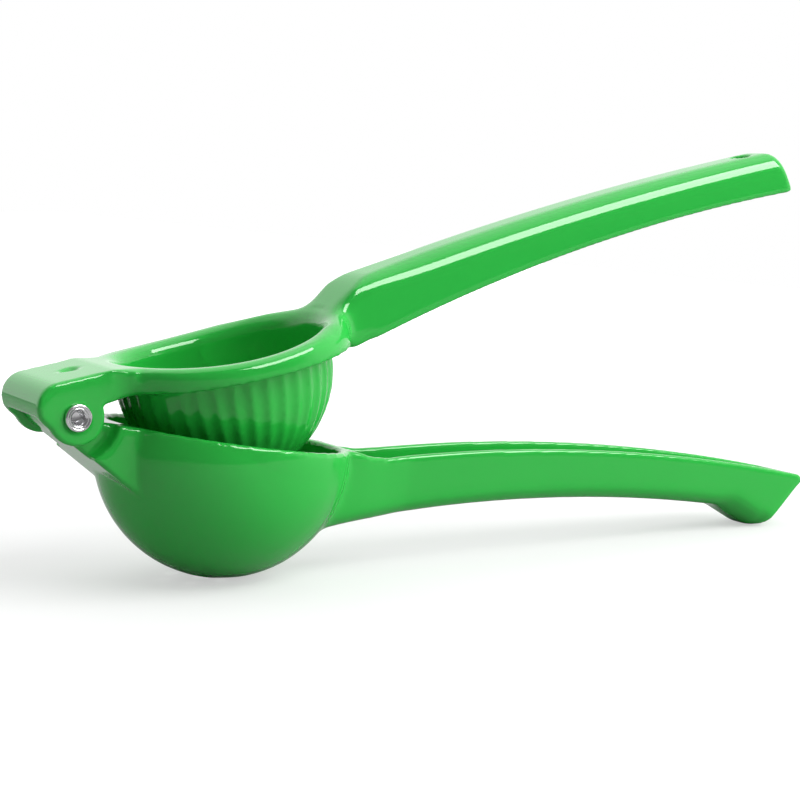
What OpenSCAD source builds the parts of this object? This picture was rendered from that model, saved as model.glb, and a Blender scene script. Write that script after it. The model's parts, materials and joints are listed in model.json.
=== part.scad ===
// Hinged lemon squeezer: two cast arms that turn on one rivet.
// Each arm is drawn in its own frame, with the hinge pin at the origin and the arm along +X, and
// the two frames agree when the squeezer is shut. Both are then turned to the half open rest pose.
// The squeezer stands on its bowl and its foot, at z = 0, and the origin is below its middle.

/* [Bowl] */
// Outer radius of the juice bowl
bowl_r = 33; // [31:0.5:35]
// Wall of the bowl
bowl_wall = 2.4; // [1.8:0.1:3]
// From the pin to the nearest point of the bowl, along the arm
bowl_start = 12.2; // [11.5:0.1:15]
// Height of the pin over the bowl's centre
bowl_drop = 5.3; // [4:0.1:7]
// Height of the pin over the bowl's rim
rim_drop = 0.8; // [0.4:0.1:2]
// Diameter of a drain hole
drain_d = 3.6; // [3:0.1:4.4]
// Distance from the middle drain hole to the others
drain_pitch = 7; // [6:0.1:9]
// Number of drain holes round the middle one
drain_count = 6; // [5:1:7]

/* [Neck and knuckle] */
// Radius of the knuckle that turns between the cheeks
knuckle_r = 5.4; // [5:0.1:5.8]
// Slope of the neck's underside
neck_slope = 31.4; // [28:0.1:34]
// Radius of the pockets beside the knuckle that the cheeks turn in
pocket_r = 11.1; // [10:0.1:11.5]

/* [Press cup and ring] */
// Clearance between the press cup and the bowl
cup_gap = 2.2; // [1.5:0.1:3]
// Wall of the press cup
cup_wall = 2.2; // [1.8:0.1:2.6]
// Number of flutes round the press cup
flutes = 40; // [32:1:44]
// Depth of a flute at the ring
flute_depth = 0.8; // [0.4:0.1:1]
// Latitude below the ring at which the flutes run out
flute_end = 75; // [60:1:80]
// How far the ring reaches out past the bowl
ring_over = 0.8; // [0.4:0.1:1.5]
// Height of the ring's underside over the pin
ring_low = 1.5; // [1:0.1:2]
// Height of the ring's top over the pin, at its lowest point
ring_top = 6.3; // [5.8:0.1:7.5]
// From the pin to that lowest point
ring_dip = 41.6; // [38:0.1:46]
// Radius of the hollow curve of the ring's top
ring_sweep = 147; // [130:1:180]

/* [Hood] */
// Width over the cheeks
hood_w = 31.8; // [30:0.1:34]
// Thickness of a cheek
cheek = 4.2; // [3.5:0.1:5]
// Height of the hood's top over the pin
hood_top = 9.4; // [9:0.1:10.5]
// From the pin to the back of the hood
hood_back = 9.3; // [8.8:0.1:9.8]
// Wall of the hood's top and back
hood_wall = 2.8; // [2.2:0.1:3]
// Radius of the hood's upper back edge
hood_r = 6; // [4:0.1:6.5]
// Radius of the cheeks' round ends
ear_r = 7.1; // [6:0.1:7.4]
// Diameter of the dimple in the hood's top
dimple_d = 4.8; // [4:0.1:7]
// Depth of the dimple
dimple_depth = 1; // [0.6:0.1:1.8]
// From the pin to the dimple
dimple_x = 4.9; // [3:0.1:6]

/* [Handles] */
// Width of both handles
handle_w = 20; // [18:0.1:23]
// Wall of both handles
handle_wall = 2.6; // [2:0.1:3]
// Radius of the lower channel's inner edges
channel_edge = 1.6; // [1:0.1:2.4]

/* [Upper handle] */
// From the pin to the end of the upper handle
upper_len = 223.3; // [210:0.1:235]
// Height of its top over the pin, at its highest point
upper_top = 25.3; // [23:0.1:27]
// Radius of the curve of its top
upper_top_sweep = 1030; // [900:5:1200]
// From the ring's edge back to where its top starts to rise
web_back = 8.2; // [8:0.1:11]
// Length of that rise
web_len = 17; // [13:0.5:20]
// Radius of the round edges along its top
crown_r = 6.5; // [4:0.1:7.5]
// Radius of those edges over the web, where they start
crown_start_r = 5; // [3:0.1:6]
// Length over which they grow
crown_len = 14; // [8:0.5:24]
// Height of its lower edge over the pin where it leaves the ring; below the pin is less than 0
root_low = -1; // [-1.5:0.1:1.5]
// Height of its lower edge over the pin, at its highest point
upper_low = 13.75; // [12:0.05:15]
// From the end back to that highest point
upper_low_back = 18.8; // [12:0.1:24]
// Radius of the curve of its lower edge
upper_low_sweep = 545; // [500:5:640]
// From the ring's edge to the start of its channel
upper_land = 4.8; // [4:0.1:8]
// Radius of the corner at the end of its top
upper_end_r = 3.2; // [3:0.1:6]
// Radius of its end's upright edges
upper_side_r = 2.2; // [1:0.1:4]
// Lean of its end
upper_end_lean = 10; // [6:0.5:16]
// Diameter of the hole to hang it by
hang_d = 5.3; // [4:0.1:6]
// From the end of the handle to that hole
hang_back = 10.3; // [9:0.1:14]

/* [Lower handle] */
// From the pin to the foot's centre
foot_reach = 213; // [200:0.1:225]
// Depth of the foot's lowest point below the pin
foot_drop = 9.8; // [9:0.1:12]
// Radius of the foot
foot_r = 5; // [4:0.1:8]
// Slope of the handle's underside before the foot
foot_ramp = 21.5; // [18:0.5:26]
// Slope of the foot's far side, up to the tip
foot_rise = 55; // [50:0.5:62]
// Radius where the underside turns down to the foot
foot_knee_r = 20; // [14:0.5:24]
// Depth of the underside below the pin, at its highest point
lower_low = 4.9; // [4:0.1:6]
// Radius of the curve of the underside
lower_low_sweep = 445; // [410:5:480]
// Height of the top edge over the pin, at its highest point
lower_top = 8.1; // [6.5:0.1:9]
// From the foot's centre back to that highest point
lower_top_back = 23.5; // [18:0.1:28]
// Radius of the curve of the top edge up to there
lower_top_sweep = 525; // [460:5:580]
// Radius of the curve of the top edge from there on
lower_end_sweep = 540; // [400:5:700]
// Radius of the tip
tip_r = 2; // [1.2:0.1:2.4]
// From the bowl to the start of the channel
lower_land = 0.8; // [0.4:0.1:4]
// How far the top edge drops behind the rim
rim_step = 0.9; // [0.5:0.1:2]
// Length of that drop
rim_step_len = 6; // [4:0.1:8]
// How far the handle's root widens on each side
root_flare = 3.5; // [2:0.1:5]
// Length over which that widening fades
flare_len = 22; // [12:0.5:28]
// Radius of its long lower edges
lower_edge_r = 5; // [3:0.1:6]
// Radius of those edges at the foot
lower_end_edge_r = 7.5; // [4:0.1:8]

/* [Rivet] */
// Diameter of the rivet's shank
rivet_d = 5; // [4:0.1:5.6]
// Diameter of both heads
rivet_head_d = 6.9; // [6.4:0.1:8]
// Height of the rolled head on the near side
rivet_roll = 1.1; // [0.8:0.1:1.4]
// Height of the factory head on the far side
rivet_cap = 1.3; // [1:0.1:1.6]
// Diameter of the hollow in the rolled end
rivet_hollow_d = 3.2; // [2.4:0.1:3.4]
// Depth of that hollow
rivet_hollow_depth = 4; // [2:0.1:6]

/* [Fits] */
// Gap between the rivet and its holes, all round
pin_gap = 0.05; // [0.02:0.01:0.1]
// Gap between the knuckle and a cheek
cheek_gap = 0.2; // [0.1:0.05:0.4]

/* [Pose] */
// Slope of the upper arm, up from level
upper_rise = 9.9; // [6:0.1:14]

/* [Hidden] */
enamel = [0.17, 0.66, 0.27];
steel = [0.75, 0.75, 0.76];
fine = 200;
nil = 0.01;
step = 0.1;

bowl_x = bowl_start + bowl_r;
inner_r = bowl_r - bowl_wall;
cup_r = inner_r - cup_gap;
cup_inner_r = cup_r - cup_wall;
ring_r = bowl_r + ring_over;
root_x = bowl_x + bowl_r;

knuckle_w = hood_w - 2 * cheek - 2 * cheek_gap;
gap_w = hood_w - 2 * cheek;
half_w = handle_w / 2;
hood_low = ring_low + 0.2;
hood_reach = bowl_start + ring_r / 4;

// The cup's inside ends in a small flat, and its top is set into the ring
cup_flat_r = 2;
cup_flat_drop = 0.05;
cup_set = 2;

// The lower handle's underside: a long arc, a knee, a ramp, the foot's arc and a rise to the tip
foot_z = foot_r - foot_drop;
ramp_end = [foot_reach - foot_r * sin(foot_ramp), foot_z - foot_r * cos(foot_ramp)];
rise_start = [foot_reach + foot_r * sin(foot_rise), foot_z - foot_r * cos(foot_rise)];
knee_corner_x = ramp_end[0] - (-lower_low - ramp_end[1]) / tan(foot_ramp);
knee_reach = foot_knee_r * tan(foot_ramp / 2);
knee_start = knee_corner_x - knee_reach;
knee_end = knee_corner_x + knee_reach * cos(foot_ramp);

// The tip is a circle that touches the top edge and the rise
lower_top_x = foot_reach - lower_top_back;
top_fall = (rise_start[0] - lower_top_x) / lower_end_sweep;
tip_x = (top_z(rise_start[0]) - tip_r * sqrt(1 + top_fall * top_fall) + top_fall * rise_start[0]
         - rise_start[1] - tip_r / cos(foot_rise) + tan(foot_rise) * rise_start[0])
        / (tan(foot_rise) + top_fall);
tip_z = rise_start[1] + (tip_x - rise_start[0]) * tan(foot_rise) + tip_r / cos(foot_rise);
tip_end = tip_x + tip_r;

// The top edge starts just under the rim, drops behind it, and runs level until its long arc climbs past
rim_sink = 0.05;
rim_step_x = root_x - 1;
climb_rise = lower_top + rim_drop + rim_sink + rim_step;
climb_x = lower_top_x - sqrt(climb_rise * (2 * lower_top_sweep - climb_rise));
flare_start = root_x - 3;
tip_edge = 2.8;

// Both channels start with small round corners, and their cutters reach well past the open side
lower_start = root_x + lower_land;
upper_start = bowl_x + ring_r + upper_land;
channel_start_r = 1.2;
channel_over = 4;

// The upper handle starts inside the ring, where a web cuts its top and rises from just under the ring's
web_start = bowl_x + ring_r - web_back;
web_end = web_start + web_len;
web_sink = 0.4;
handle_start = web_start + 2.3;
root_len = 5;

// Its end is a corner with a lean below it, and stops short of a sharp lower edge
end_corner = [upper_len - (upper_top - upper_end_r - upper_low) * tan(upper_end_lean)
              - upper_end_r / cos(upper_end_lean), upper_top - upper_end_r];
end_run = upper_end_r * cos(upper_end_lean);
end_blunt = 0.25;
side_corner_cut = 0.4;

// The slope at which the bowl and the foot both touch the floor
foot_run = [foot_reach - bowl_x, foot_z + bowl_drop];
lower_fall = atan2(foot_run[1], foot_run[0]) - asin((foot_r - bowl_r) / norm(foot_run));
pin_z = bowl_r + bowl_x * sin(lower_fall) + bowl_drop * cos(lower_fall);

// The places of the ends of the whole squeezer, from the pin
back_end = (-hood_back + hood_r) * cos(upper_rise) - (hood_top - hood_r) * sin(upper_rise) - hood_r;
front_end = tip_x * cos(lower_fall) + tip_z * sin(lower_fall) + tip_r;
pin_x = -(back_end + front_end) / 2;

// Drop of a point on a circle of radius r, at x from its top
function sag(r, x) = r - sqrt(max(0, r * r - x * x));
function ease(t) = t <= 0 ? 0 : t >= 1 ? 1 : t * t * (3 - 2 * t);
function mix(a, b, t) = a + (b - a) * t;
function span(a, b, n) = [for (i = [0 : n - 1]) a + (b - a) * i / n];

// Top edge and underside of the lower handle at x
function top_z(x) =
    lower_top - sag(x < lower_top_x ? lower_top_sweep : lower_end_sweep, x - lower_top_x);
function rim_step_z(x) = -rim_drop - rim_sink - rim_step * ease((x - rim_step_x) / rim_step_len);
function lower_over(x) =
    x > tip_x + tip_r * top_fall ? tip_z + sqrt(max(0, tip_r * tip_r - pow(x - tip_x, 2)))
    : x > climb_x ? top_z(x) : rim_step_z(x);
function lower_under(x) =
    x < knee_start ? -lower_low - sag(lower_low_sweep, x - knee_start)
    : x < knee_end ? -lower_low - sag(foot_knee_r, x - knee_start)
    : x < ramp_end[0] ? ramp_end[1] - (x - ramp_end[0]) * tan(foot_ramp)
    : x < rise_start[0] ? foot_z - sqrt(foot_r * foot_r - pow(x - foot_reach, 2))
    : x < tip_x + tip_r * sin(foot_rise) ? rise_start[1] + (x - rise_start[0]) * tan(foot_rise)
    : tip_z - sqrt(max(0, tip_r * tip_r - pow(x - tip_x, 2)));
function lower_half_w(x) = half_w + root_flare * (1 - ease((x - flare_start) / flare_len));
function lower_edge(x) =
    x < knee_start ? lower_edge_r
    : x < foot_reach ? mix(lower_edge_r, lower_end_edge_r, ease((x - knee_start) / (knee_end - knee_start)))
    : mix(lower_end_edge_r, tip_edge, ease((x - foot_reach) / foot_r));

// Top and lower edge of the upper handle at x
function ring_over_z(x) = ring_top + sag(ring_sweep, x - ring_dip);
function upper_arc(x) = upper_top - sag(upper_top_sweep, min(0, x - end_corner[0]));
function upper_over(x) =
    x > end_corner[0] + end_run ? upper_low + (upper_len - x) / tan(upper_end_lean)
    : x > end_corner[0] ? end_corner[1] + sqrt(pow(upper_end_r, 2) - pow(x - end_corner[0], 2))
    : mix(ring_over_z(x) - web_sink, upper_arc(x), ease((x - web_start) / (web_end - web_start)));
function upper_under(x) =
    max(mix(ring_low, root_low, ease((x - handle_start) / root_len)),
        upper_low - sag(upper_low_sweep, x - upper_len + upper_low_back));
function crown(x) = mix(crown_start_r, crown_r, ease((x - web_end) / crown_len));
function upper_half_w(x) =
    half_w - sag(upper_side_r, max(0, x - upper_len + upper_side_r - side_corner_cut));

// Height of a handle's inner face, where z0 and z1 are the outer one's heights at x and one step on
function inner_face(z0, z1, dir) = z0 + dir * handle_wall * sqrt(1 + pow((z1 - z0) / step, 2));
function channel_half_w(x, outer, start) =
    outer - handle_wall - sag(channel_start_r, max(0, start + channel_start_r - x));

// A section at x with two round corners on one side and two square ones on the other
function section(x, w, flat_z, round_z, r) =
    let (dir = sign(flat_z - round_z), r = min(r, w - nil, abs(flat_z - round_z) * 0.8), n = 6)
    concat(
        [for (i = [0 : n]) let (t = 90 * i / n)
            [x, -w + r - r * cos(t), round_z + dir * (r - r * sin(t))]],
        [for (i = [0 : n]) let (t = 90 * i / n)
            [x, w - r + r * sin(t), round_z + dir * (r - r * cos(t))]],
        [[x, w, flat_z], [x, -w, flat_z]]);

// A closed solid through a row of sections; flip is true where the round side is on top
module loft(rings, flip) {
    n = len(rings[0]);
    m = len(rings);
    first = [for (i = [0 : n - 1]) i];
    last = [for (i = [n - 1 : -1 : 0]) (m - 1) * n + i];
    sides = [for (j = [0 : m - 2]) for (i = [0 : n - 1])
        [j * n + i, (j + 1) * n + i, (j + 1) * n + (i + 1) % n, j * n + (i + 1) % n]];
    faces = concat([first, last], sides);
    polyhedron([for (ring = rings) for (p = ring) p],
        flip ? [for (f = faces) [for (i = [len(f) - 1 : -1 : 0]) f[i]]] : faces, convexity = 6);
}

// A plate whose outline lies in the XZ plane, w wide across the middle
module across(w) {
    rotate([90, 0, 0]) linear_extrude(w, center = true) children();
}

module pin_hole() {
    rotate([90, 0, 0]) cylinder(h = 2 * hood_w, r = rivet_d / 2 + pin_gap, center = true, $fn = 64);
}

// ---- Lower arm ----

module bowl_outside() {
    translate([bowl_x, 0, -bowl_drop]) intersection() {
        sphere(bowl_r, $fn = fine);
        translate([0, 0, bowl_drop - rim_drop - 2 * bowl_r]) cube(4 * bowl_r, center = true);
    }
}

module neck() {
    under = [sin(neck_slope), cos(neck_slope)] * -knuckle_r;
    reach = bowl_start + bowl_r * 0.7;
    difference() {
        across(hood_w) polygon([[0, 0], under,
            [reach, under[1] - (reach - under[0]) * tan(neck_slope)], [reach, -rim_drop], [0, -rim_drop]]);
        for (side = [-1, 1]) translate([0, side * (knuckle_w + hood_w) / 2, 0])
            rotate([90, 0, 0]) cylinder(h = hood_w, r = pocket_r, center = true, $fn = 128);
    }
    rotate([90, 0, 0]) cylinder(h = knuckle_w, r = knuckle_r, center = true, $fn = 128);
}

module lower_handle_outside() {
    step_end = rim_step_x + rim_step_len;
    xs = concat(span(bowl_x + bowl_r / 2, rim_step_x, 4), span(rim_step_x, step_end, 6),
        span(step_end, climb_x, 3), span(climb_x, knee_start, 15),
        span(knee_start, knee_end, 4), span(knee_end, ramp_end[0], 2),
        span(ramp_end[0], rise_start[0], 10), span(rise_start[0], tip_x, 4),
        [for (t = [0 : 15 : 75]) tip_x + tip_r * sin(t)], [tip_end - nil]);
    loft([for (x = xs) section(x, lower_half_w(x), lower_over(x), lower_under(x), lower_edge(x))], false);
}

module lower_channel() {
    top = lower_top + channel_over;
    corner = lower_start + channel_start_r;
    xs = concat(span(lower_start, corner, 4), span(corner, knee_start, 18),
        span(knee_start, knee_end, 4), span(knee_end, ramp_end[0], 2),
        span(ramp_end[0], rise_start[0], 10), span(rise_start[0], tip_x, 3));
    loft([for (x = xs)
        section(x, channel_half_w(x, lower_half_w(x), lower_start), top,
            min(top - step, inner_face(lower_under(x), lower_under(x + step), 1)),
            max(channel_edge, lower_edge(x) - handle_wall))], false);
}

module drain_holes() {
    translate([bowl_x, 0, -bowl_drop - bowl_r]) {
        cylinder(h = bowl_r, r = drain_d / 2, center = true, $fn = 48);
        for (i = [0 : drain_count - 1]) rotate([0, 0, 360 * i / drain_count])
            translate([drain_pitch, 0, 0]) cylinder(h = bowl_r, r = drain_d / 2, center = true, $fn = 48);
    }
}

module lower_arm() {
    color(enamel) at_rest(lower_fall) difference() {
        union() {
            bowl_outside();
            neck();
            lower_handle_outside();
        }
        translate([bowl_x, 0, -bowl_drop]) sphere(inner_r, $fn = fine);
        lower_channel();
        drain_holes();
        pin_hole();
    }
}

// ---- Upper arm ----

// The space over the ring's hollow top
module over_ring() {
    translate([ring_dip, 0, ring_top + ring_sweep]) rotate([90, 0, 0])
        cylinder(h = 4 * ring_r, r = ring_sweep, center = true, $fn = 6 * fine);
}

module ring_band() {
    difference() {
        translate([bowl_x, 0, ring_low]) cylinder(h = 2 * hood_top, r = ring_r, $fn = fine);
        over_ring();
    }
}

module hood() {
    inner_back = -hood_back + hood_wall;
    inner_top = hood_top - hood_wall;
    below = -2 * ear_r;
    difference() {
        union() {
            across(hood_w) {
                translate([-hood_back, hood_low]) square([hood_back, hood_top - hood_r - hood_low]);
                translate([-hood_back + hood_r, hood_top - hood_r]) circle(hood_r, $fn = 96);
                translate([-hood_back + hood_r, hood_low])
                    square([hood_back - hood_r, hood_top - hood_low]);
                translate([0, ring_low]) square([hood_reach, hood_top - ring_low]);
            }
            rotate([90, 0, 0]) cylinder(h = hood_w, r = ear_r, center = true, $fn = 128);
        }
        // The knuckle's space, open at the bottom and below the back wall
        across(gap_w) polygon([[-2 * hood_back, below], [hood_reach, below], [hood_reach, inner_top],
            [inner_back, inner_top], [inner_back, hood_low], [-2 * hood_back, hood_low]]);
        translate([dimple_x, 0, hood_top - dimple_depth]) cylinder(h = hood_top, r = dimple_d / 2, $fn = 48);
        over_ring();
    }
}

// Depth of the flutes at a latitude below the cup's middle, and across one flute from 0 to 1
function flute_fade(lat) = max(0, 1 - (1 - cos(lat)) / (1 - cos(flute_end)));
function flute_form(t) = pow(sin(180 * t), 0.6);

// The cup's outside down to its pole, with a soft flute between each pair of narrow crests
module press_cup_outside() {
    lats = concat([for (lat = [0 : 7.5 : 75]) lat], [80, 86]);
    parts = 4;
    spots = concat([[cup_r, ring_low + cup_set, flute_depth]],
        [for (lat = lats) [cup_r * cos(lat), -cup_r * sin(lat), flute_depth * flute_fade(lat)]]);
    translate([bowl_x, 0, 0]) loft([for (spot = spots) [for (i = [0 : parts * flutes - 1])
        let (r = spot[0] - spot[2] * flute_form((i % parts) / parts), turn = 360 * i / parts / flutes)
        [r * cos(turn), r * sin(turn), spot[1]]]], true);
}

module press_cup_inside() {
    translate([bowl_x, 0, 0]) {
        sphere(cup_inner_r, $fn = fine);
        cylinder(h = 2 * bowl_r, r = cup_inner_r, $fn = fine);
        translate([0, 0, -cup_inner_r - cup_flat_drop]) cylinder(h = bowl_r / 2, r = cup_flat_r, $fn = 48);
    }
}

// Over the web the handle's own section is cut off level with the web
module upper_handle_outside() {
    xs = concat(span(handle_start, web_end, 14), span(web_end, end_corner[0], 16),
        [for (t = [0 : 10 : 70]) end_corner[0] + end_run * sin(t)],
        [end_corner[0] + end_run, upper_len - end_blunt]);
    loft([for (x = xs) let (crest = x < web_end ? upper_arc(x) : upper_over(x))
        [for (p = section(x, upper_half_w(x), upper_under(x), crest, crown(x)))
            [x, p[1], min(p[2], upper_over(x))]]], true);
}

module upper_channel() {
    bottom = upper_under(upper_start) - channel_over;
    corner = upper_start + channel_start_r;
    end = end_corner[0] + end_run - handle_wall;
    xs = concat(span(upper_start, corner, 4), span(corner, end_corner[0], 20),
        span(end_corner[0], end, 6), [end]);
    loft([for (x = xs)
        section(x, channel_half_w(x, upper_half_w(x), upper_start), bottom,
            inner_face(upper_over(x), upper_over(x + step), -1), crown_r - handle_wall)], true);
}

module upper_arm() {
    color(enamel) at_rest(-upper_rise) difference() {
        union() {
            hood();
            ring_band();
            press_cup_outside();
            upper_handle_outside();
        }
        press_cup_inside();
        upper_channel();
        translate([upper_len - hang_back, 0, 0]) cylinder(h = 2 * bowl_r, r = hang_d / 2, $fn = 64);
        pin_hole();
    }
}

// ---- Rivet ----

module hinge_rivet() {
    head_r = rivet_head_d / 2;
    color(steel) at_rest(-upper_rise) rotate([90, 0, 0]) difference() {
        union() {
            cylinder(h = hood_w, r = rivet_d / 2, center = true, $fn = 64);
            translate([0, 0, hood_w / 2]) rotate_extrude($fn = 96) {
                square([head_r - rivet_roll / 2, rivet_roll]);
                translate([head_r - rivet_roll / 2, rivet_roll / 2]) circle(rivet_roll / 2, $fn = 32);
            }
            translate([0, 0, -hood_w / 2]) intersection() {
                cylinder(h = 2 * rivet_cap, r = head_r, center = true, $fn = 96);
                translate([0, 0, 2 * head_r]) sphere(2 * head_r + rivet_cap, $fn = 200);
                translate([0, 0, -head_r]) cube(2 * head_r, center = true);
            }
        }
        translate([0, 0, hood_w / 2 + rivet_roll - rivet_hollow_depth])
            cylinder(h = rivet_hollow_depth + 1, r = rivet_hollow_d / 2, $fn = 64);
    }
}

// Turns an arm about the pin and stands it in its place; a positive slope lowers the far end
module at_rest(slope) {
    translate([pin_x, 0, pin_z]) rotate([0, slope, 0]) children();
}

lower_arm();
upper_arm();
hinge_rivet();
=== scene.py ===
import json
import math

import bmesh
import bpy
from mathutils import Matrix, Vector


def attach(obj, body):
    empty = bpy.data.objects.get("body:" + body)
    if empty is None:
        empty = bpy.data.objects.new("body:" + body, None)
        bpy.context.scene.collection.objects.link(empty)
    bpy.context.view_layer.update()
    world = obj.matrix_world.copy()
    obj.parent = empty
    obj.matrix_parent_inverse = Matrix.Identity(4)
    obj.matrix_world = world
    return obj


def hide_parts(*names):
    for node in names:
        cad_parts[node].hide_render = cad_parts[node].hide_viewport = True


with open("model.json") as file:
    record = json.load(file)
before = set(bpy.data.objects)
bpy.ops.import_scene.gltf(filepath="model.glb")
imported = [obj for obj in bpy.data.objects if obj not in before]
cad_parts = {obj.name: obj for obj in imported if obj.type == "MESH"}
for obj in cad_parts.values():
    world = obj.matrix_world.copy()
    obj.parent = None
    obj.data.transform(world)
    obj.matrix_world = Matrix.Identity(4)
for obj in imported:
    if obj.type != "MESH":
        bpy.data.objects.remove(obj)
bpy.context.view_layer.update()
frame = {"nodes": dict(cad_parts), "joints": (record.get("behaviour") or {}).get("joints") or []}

# ---- Lower arm ----
# One aluminium casting under green enamel: the knuckle and its neck, the juice bowl and the handle that ends
# in a foot. It is poured in a two-part mould, so every corner comes out soft, and it is enamelled all over.

mm = 0.001
pin = Vector(frame["joints"][0]["pos_m"])
lower_slope = math.radians(9.776)
skin_grain = 0.64 * mm
weld = 0.001 * mm
lower_soft = 4
seam_soft = 10
seam_fade = 5

# The seam between the bowl and the root of the handle, as two corners of a box in mm
root_seam = ((66, -15, -27), (82, 15, -8))


def laid_out(slope):
    """The turn from the squeezer to one arm's own frame, with the pin at its origin and the arm along X."""
    return Matrix.Rotation(-slope, 4, "Y") @ Matrix.Translation(-pin)


def poured(node):
    """A copy of a CAD casting as one even skin, still with sharp corners, as a bmesh."""
    rough = frame["nodes"][node].data.copy()
    skin = bmesh.new()
    skin.from_mesh(rough)
    bmesh.ops.remove_doubles(skin, verts=skin.verts, dist=weld)
    skin.to_mesh(rough)
    pattern = bpy.data.objects.new("pattern", rough)
    bpy.context.collection.objects.link(pattern)
    even = pattern.modifiers.new("even skin", "REMESH")
    even.mode = "VOXEL"
    even.voxel_size = skin_grain
    skin.clear()
    skin.from_object(pattern, bpy.context.evaluated_depsgraph_get())
    bpy.data.objects.remove(pattern)
    return skin


def dressed(skin, turns, verts=None):
    """Softens a casting's corners, as grinding and enamel do."""
    for _ in range(turns):
        bmesh.ops.smooth_vert(skin, verts=verts or skin.verts, factor=0.5,
                              use_axis_x=True, use_axis_y=True, use_axis_z=True)


def fill_seam(skin, low, high):
    """Softens a casting in a box in mm, fading out round it, so that two of its forms run into each other."""
    for margin in range(seam_fade):
        near = [vert for vert in skin.verts
                if all(a - margin < part / mm < b + margin for a, part, b in zip(low, vert.co, high))]
        dressed(skin, seam_soft, near)


def finished(skin, name, material):
    """The bmesh as a smooth shaded piece in its place."""
    for face in skin.faces:
        face.smooth = True
    mesh = bpy.data.meshes.new(name)
    skin.to_mesh(mesh)
    skin.free()
    mesh.materials.append(material)
    piece = bpy.data.objects.new(name, mesh)
    bpy.context.collection.objects.link(piece)
    return piece


class Value:
    """A number or a colour that changes over a surface, with Python's own operators for the numbers."""

    def __init__(self, wiring, socket):
        self.wiring, self.socket = wiring, socket

    def sum(self, operation, first, second):
        """One step of arithmetic on two values or numbers."""
        answer = self.wiring.node("ShaderNodeMath", {"operation": operation})
        for place, part in zip(answer.socket.node.inputs, (first, second)):
            self.wiring.put(place, part)
        return answer

    def __add__(self, other): return self.sum("ADD", self, other)
    def __radd__(self, other): return self.sum("ADD", other, self)
    def __sub__(self, other): return self.sum("SUBTRACT", self, other)
    def __rsub__(self, other): return self.sum("SUBTRACT", other, self)
    def __mul__(self, other): return self.sum("MULTIPLY", self, other)
    def __rmul__(self, other): return self.sum("MULTIPLY", other, self)


class Wiring:
    """The nodes of a finish or of the air, made one call at a time."""

    def __init__(self, tree):
        self.tree = tree

    def node(self, kind, settings, output=0, **inputs):
        """A new node with its settings and then its inputs, as the value that it gives out."""
        node = self.tree.nodes.new(kind)
        for name, setting in settings.items():
            setattr(node, name, setting)
        for name, value in inputs.items():
            self.put(node.inputs[name.replace("_", " ")], value)
        return Value(self, node.outputs[output])

    def put(self, socket, value):
        """Links a value to a socket, or sets the socket to a number or a colour."""
        if isinstance(value, Value):
            self.tree.links.new(value.socket, socket)
        else:
            socket.default_value = value


class Finish(Wiring):
    """A material, with the place of each point on its piece."""

    def __init__(self, name):
        self.material = bpy.data.materials.new(name)
        self.material.use_nodes = True
        super().__init__(self.material.node_tree)
        self.place = self.node("ShaderNodeTexCoord", {}, output="Object")

    def drift(self, scale, detail):
        """An even, cloudy pattern from 0 to 1."""
        return self.node("ShaderNodeTexNoise", {}, Vector=self.place, Scale=scale, Detail=detail)

    def between(self, dark, pale, factor):
        """A colour that drifts between two, by way of a Mix node's sockets for colours."""
        colours_in, colour_out = slice(6, 8), 2
        mix = self.node("ShaderNodeMix", {"data_type": "RGBA"}, output=colour_out, Factor=factor)
        for socket, colour in zip(mix.socket.node.inputs[colours_in], (dark, pale)):
            socket.default_value = (*colour, 1)
        return mix

    def coat(self, **inputs):
        """Sets the material's own shader."""
        shader = self.tree.nodes["Principled BSDF"]
        for name, value in inputs.items():
            self.put(shader.inputs[name.replace("_", " ")], value)


# Glossy green enamel: an even colour, a faint orange peel and a slightly uneven shine
deep_green, bright_green = (0.019, 0.400, 0.047), (0.022, 0.435, 0.052)
peel_depth = 0.02 * mm

enamel = Finish("green enamel")
cloud = enamel.drift(38, 2)
peel = enamel.drift(900, 1)
wave = enamel.drift(120, 1)
dust = enamel.drift(4200, 2)
enamel.coat(Base_Color=enamel.between(deep_green, bright_green, cloud), IOR=1.5,
            Roughness=0.05 + 0.03 * cloud + 0.02 * dust,
            Normal=enamel.node("ShaderNodeBump", {}, Strength=0.25, Distance=peel_depth,
                               Height=0.6 * wave + 0.3 * peel + 0.1 * dust))

skin = poured("lower_arm")
skin.transform(laid_out(lower_slope))
fill_seam(skin, *root_seam)
skin.transform(laid_out(lower_slope).inverted())
dressed(skin, lower_soft)
lower_arm = finished(skin, "lower_casting", enamel.material)
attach(lower_arm, "lower")
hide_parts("lower_arm")

# ---- Upper arm ----
# One casting in the same enamel: the hood with its two cheeks, the ring, the fluted press cup below it and
# the upper handle. The ring's opening is rolled over into the cup by a wide lip.

upper_slope = math.radians(-9.9)
upper_soft = 4
bowl_x = 45.2 * mm

# The ring's top is hollow along the arm, lowest at its dip
ring_top = 6.3 * mm
ring_dip = 41.6 * mm
ring_sweep = 147 * mm

# Its inner edge is rolled all round. Its outer one is rolled off the middle, and wider beside the handle
cup_inside, cup_roll = 26.2 * mm, 3.4 * mm
ring_outside, ring_roll, ring_clear = 33.8 * mm, 2.6 * mm, 15 * mm
corner_roll, corner_clear, corner_start = 5 * mm, 9 * mm, bowl_x + 12 * mm
side_fade = 2 * mm
start_fade = 10 * mm
roll_reach = 1.3

hood_side = 15.9 * mm
hood_round = 12 * mm
hood_round_depth = 1.7 * mm

# The seams of the ring with the handle and with the hood, as two corners of a box in mm on one side
handle_seam = ((70, 9, 2), (81, 15, 10))
hood_seam = ((13, 15, 0), (22, 21, 3))


def grown(distance, length):
    """From 0 to 1 over a length."""
    return min(1, max(0, distance / length))


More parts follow.
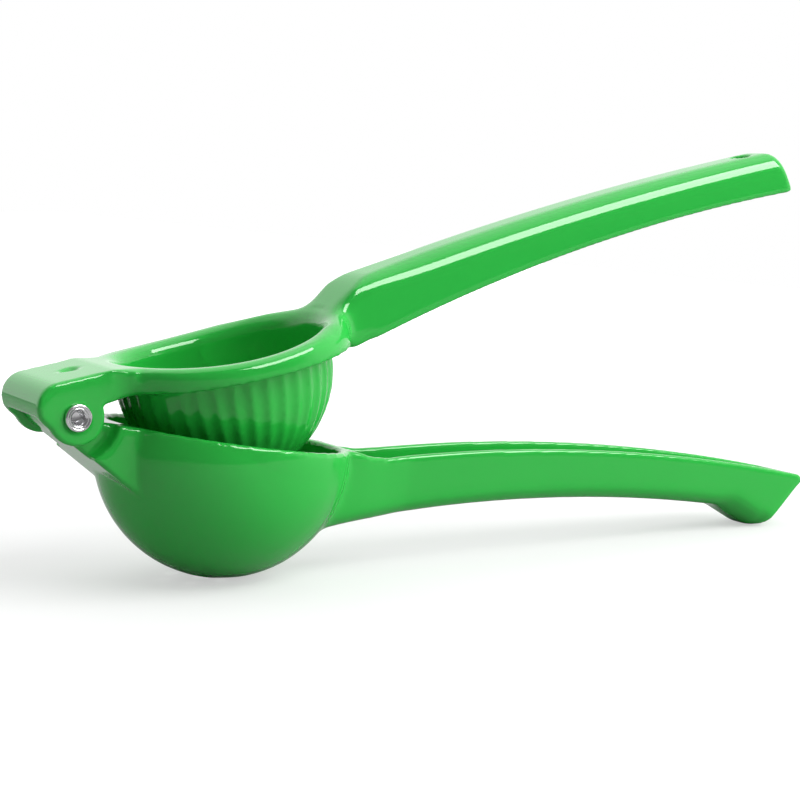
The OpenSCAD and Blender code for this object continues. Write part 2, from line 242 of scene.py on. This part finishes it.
def roll_edge(skin, wall, side, radius, clear=-side_fade, start=0):
    """Rounds the edge between the ring's top and an upright wall, from clear off the middle and start on."""
    for vert in skin.verts:
        spot = vert.co
        out = Vector((spot.x - bowl_x, spot.y))
        top = ring_top + (spot.x - ring_dip) ** 2 / (2 * ring_sweep)
        corner = Vector((side * (out.length - wall) - radius, top - spot.z - radius))
        part = grown(abs(spot.y) - clear, side_fade) * grown(spot.x - start, start_fade)
        if -radius * roll_reach < min(corner) and max(corner) < 0 and corner.length > radius and part:
            corner *= 1 - part + part * radius / corner.length
            out *= (wall + side * (corner.x + radius)) / out.length
            vert.co = (bowl_x + out.x, out.y, top - corner.y - radius)


def round_hood(skin):
    """Fills the upright corners where the hood's sides run into the ring."""
    hub = Vector((bowl_x - math.sqrt((ring_outside + hood_round) ** 2 - (hood_side + hood_round) ** 2),
                  hood_side + hood_round))
    for vert in skin.verts:
        away = Vector((vert.co.x, abs(vert.co.y))) - hub
        if (0 < away.x < -away.y * (bowl_x - hub.x) / hub.y
                and hood_round < away.length < hood_round + hood_round_depth):
            away *= hood_round / away.length
            vert.co = (hub.x + away.x, math.copysign(hub.y + away.y, vert.co.y), vert.co.z)


skin = poured("upper_arm")
skin.transform(laid_out(upper_slope))
round_hood(skin)
roll_edge(skin, cup_inside, 1, cup_roll)
roll_edge(skin, ring_outside, -1, ring_roll, ring_clear)
roll_edge(skin, ring_outside, -1, corner_roll, corner_clear, corner_start)
for (x0, y0, z0), (x1, y1, z1) in (handle_seam, hood_seam):
    fill_seam(skin, (x0, -y1, z0), (x1, -y0, z1))
    fill_seam(skin, (x0, y0, z0), (x1, y1, z1))
skin.transform(laid_out(upper_slope).inverted())
dressed(skin, upper_soft)
upper_arm = finished(skin, "upper_casting", enamel.material)
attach(upper_arm, "upper")
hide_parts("upper_arm")

# ---- Rivet ----
# One plated steel rivet, turned like a part on a lathe: a low dome at the far end, and a tube rolled over
# into a bright ring at the near one, with a groove round its mouth.

# Half its outline in mm, as distances from the axis and along it
near_seat, far_seat = -15.9, 15.9
head_r, shank_r = 3.45, 2.5
hollow_floor = -13
outline = [(0, hollow_floor), (1.3, hollow_floor), (1.6, hollow_floor - 0.4), (1.6, near_seat + 0.1),
           (1.75, near_seat - 0.5), (2.2, near_seat - 0.95), (2.4, near_seat - 0.98), (2.55, near_seat - 0.8),
           (2.7, near_seat - 0.98), (2.95, near_seat - 1.1), (3.3, near_seat - 0.95),
           (head_r, near_seat - 0.6), (head_r, near_seat), (shank_r, near_seat),
           (shank_r, far_seat), (head_r, far_seat), (head_r - 0.15, far_seat + 0.45),
           (2.4, far_seat + 0.95), (1.2, far_seat + 1.2), (0, far_seat + 1.3)]
turn_steps = 96

# Edges sharper than this, in radians, get a small bevel
sharp_from = 0.3
edge_bevel = 0.06 * mm

dull_steel, bright_steel = (0.66, 0.66, 0.67), (0.74, 0.74, 0.75)
scratch_depth = 0.01 * mm

steel = Finish("rivet steel")
scuff = steel.drift(700, 3)
turned = steel.drift(2500, 1)
steel.coat(Base_Color=steel.between(dull_steel, bright_steel, scuff), Metallic=1,
           Roughness=0.14 + 0.14 * scuff,
           Normal=steel.node("ShaderNodeBump", {}, Strength=0.2, Distance=scratch_depth, Height=turned))

turning = bmesh.new()
line = [turning.verts.new((pin.x + r * mm, pin.y + y * mm, pin.z)) for r, y in outline]
edges = [turning.edges.new(pair) for pair in zip(line, line[1:])]
bmesh.ops.spin(turning, geom=line + edges, cent=pin, axis=(0, 1, 0), angle=math.tau, steps=turn_steps,
               use_merge=True)
bmesh.ops.remove_doubles(turning, verts=turning.verts, dist=weld)
bmesh.ops.recalc_face_normals(turning, faces=turning.faces)
sharp = [edge for edge in turning.edges if edge.calc_face_angle(0) > sharp_from]
bmesh.ops.bevel(turning, geom=sharp, offset=edge_bevel, segments=2, profile=0.5, affect="EDGES", material=-1)
rivet = finished(turning, "turned_rivet", steel.material)
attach(rivet, "upper")
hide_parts("hinge_rivet")

# ---- Floor ----
# A white sweep of paper that the squeezer stands on. It runs on past the view, keeps a soft shadow near the
# squeezer, and is clean white further out.

floor_left, floor_right = -0.9, 0.7
floor_front, floor_back = -0.45, 2.5
paper_tone = (0.40, 0.40, 0.40, 1)

# What is added to the lit paper near the squeezer, in view only. It grows to clean white from shadow_end on
paper_lift = 0.5
shadow_end, clean_start = 0.12, 0.45

sheet = bmesh.new()
bmesh.ops.create_grid(sheet, x_segments=1, y_segments=1, size=0.5)
bmesh.ops.scale(sheet, verts=sheet.verts, vec=(floor_right - floor_left, floor_back - floor_front, 1))
bmesh.ops.translate(sheet, verts=sheet.verts,
                    vec=((floor_left + floor_right) / 2, (floor_front + floor_back) / 2, 0))
paper = Finish("white paper")
seen = paper.node("ShaderNodeLightPath", {})
reach = paper.node("ShaderNodeVectorMath", {"operation": "LENGTH"}, output=1, Vector=paper.place)
lift = paper.node("ShaderNodeMapRange", {"interpolation_type": "SMOOTHSTEP"}, Value=reach,
                  From_Min=shadow_end, From_Max=clean_start, To_Min=paper_lift, To_Max=1)
paper.coat(Base_Color=paper_tone, Roughness=0.9, Emission_Color=lift * seen, Emission_Strength=1)
floor = finished(sheet, "paper_floor", paper.material)

# ---- Light ----
# A white wall behind the squeezer and a dim room in front. A long soft box high at the front right leaves the
# highlight, and a key at the same place, a wide box above and a fill low at the right do the lighting.

wall_bearing = math.radians(27.1)
wall_white = 1.1
room_dark = 0.18
room_end, wall_start = -0.35, 0.1
middle = Vector((-0.03, 0, 0.05))

world = bpy.data.worlds.new("studio")
world.use_nodes = True
bpy.context.scene.world = world
air = Wiring(world.node_tree)
way = air.node("ShaderNodeTexCoord", {})
to_wall = air.node("ShaderNodeVectorRotate", {"rotation_type": "Z_AXIS"}, Vector=way, Angle=wall_bearing)
depth = air.node("ShaderNodeSeparateXYZ", {}, output=1, Vector=to_wall)
glow = air.node("ShaderNodeMapRange", {"interpolation_type": "SMOOTHSTEP"}, Value=depth, From_Min=room_end,
                From_Max=wall_start, To_Min=room_dark, To_Max=wall_white)
watched = air.node("ShaderNodeLightPath", {})
background = world.node_tree.nodes["Background"]
air.put(background.inputs["Color"], (1, 1, 1, 1))
air.put(background.inputs["Strength"], glow + watched * (1 - glow))


def facing(bearing, rise):
    """A direction out from the squeezer: the bearing runs from the front to the right."""
    bearing, rise = math.radians(bearing), math.radians(rise)
    return Vector((math.sin(bearing) * math.cos(rise), -math.cos(bearing) * math.cos(rise), math.sin(rise)))


def looking(centre, out):
    """The place and turn of a lamp or a camera that looks back along a direction."""
    return Matrix.Translation(centre) @ (-out).to_track_quat("-Z", "Y").to_matrix().to_4x4()


def soft_box(name, out, distance, width, height, brightness):
    """A lamp with a flat white front of the given brightness, where 1 is white paper in plain light."""
    lamp = bpy.data.lights.new(name, "AREA")
    lamp.shape = "RECTANGLE"
    lamp.size, lamp.size_y, lamp.energy = width, height, brightness * math.pi * width * height
    box = bpy.data.objects.new(name, lamp)
    box.matrix_world = looking(middle + distance * out, out)
    bpy.context.collection.objects.link(box)
    return box


front_right = facing(33, 50)
strip = soft_box("strip box", front_right, 0.95, 0.95, 0.42, 12)
strip.visible_diffuse = False
key = soft_box("key", front_right, 0.95, 0.95, 0.45, 4.8)
key.visible_glossy = False
soft_box("top box", facing(150, 80), 1.2, 1.2, 1.2, 0.4)
fill = soft_box("fill", facing(48, 22), 1.2, 1.0, 1.0, 4.6)
fill.visible_glossy = False

# ---- Camera ----
# A long lens from the hinge's side, a little over the squeezer. It looks at a point above the floor, part of
# the way along the handles.

to_lens = facing(-27.1, 7.2)
view_from = 565.7 * mm
view_centre = Vector((pin.x + 95.4 * mm, 0, 43 * mm))

lens = bpy.data.cameras.new("camera")
lens.lens = 94.77
lens.sensor_width = 36
camera = bpy.data.objects.new("camera", lens)
camera.matrix_world = looking(view_centre + view_from * to_lens, to_lens)
bpy.context.collection.objects.link(camera)
bpy.context.scene.camera = camera
bpy.context.scene.view_settings.view_transform = "Standard"
